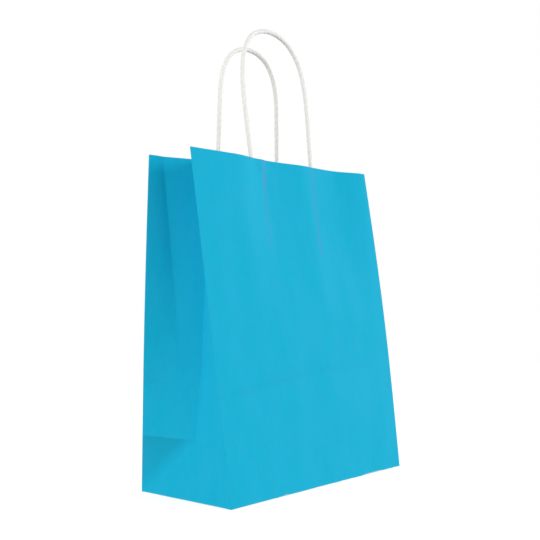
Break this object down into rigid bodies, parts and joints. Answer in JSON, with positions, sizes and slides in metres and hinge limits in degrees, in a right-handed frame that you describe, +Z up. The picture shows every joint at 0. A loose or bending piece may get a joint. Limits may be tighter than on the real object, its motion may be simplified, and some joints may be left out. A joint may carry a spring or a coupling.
{
  "type": "paper carrier bag",
  "caption": "Standing kraft paper carrier bag with folded block bottom, side gussets and twisted paper cord handles.",
  "frame": {"origin": "middle of the base, on the surface that the bag stands on", "axes": "+Z up, X along the width of the bag, front panel facing -Y"},
  "size_m": [0.21, 0.105, 0.3913],
  "materials": {
    "blue_kraft": "matt kraft paper, dyed blue outside",
    "paper_cord": "off-white twisted paper cord",
    "patch_paper": "plain white kraft paper"
  },
  "bodies": {
    "root": {"bag_body": "blue_kraft", "front_handle_cord": "paper_cord", "back_handle_cord": "paper_cord", "front_backing_patch": "patch_paper", "front_cover_patch": "patch_paper", "back_backing_patch": "patch_paper", "back_cover_patch": "patch_paper"}
  },
  "joints": []
}
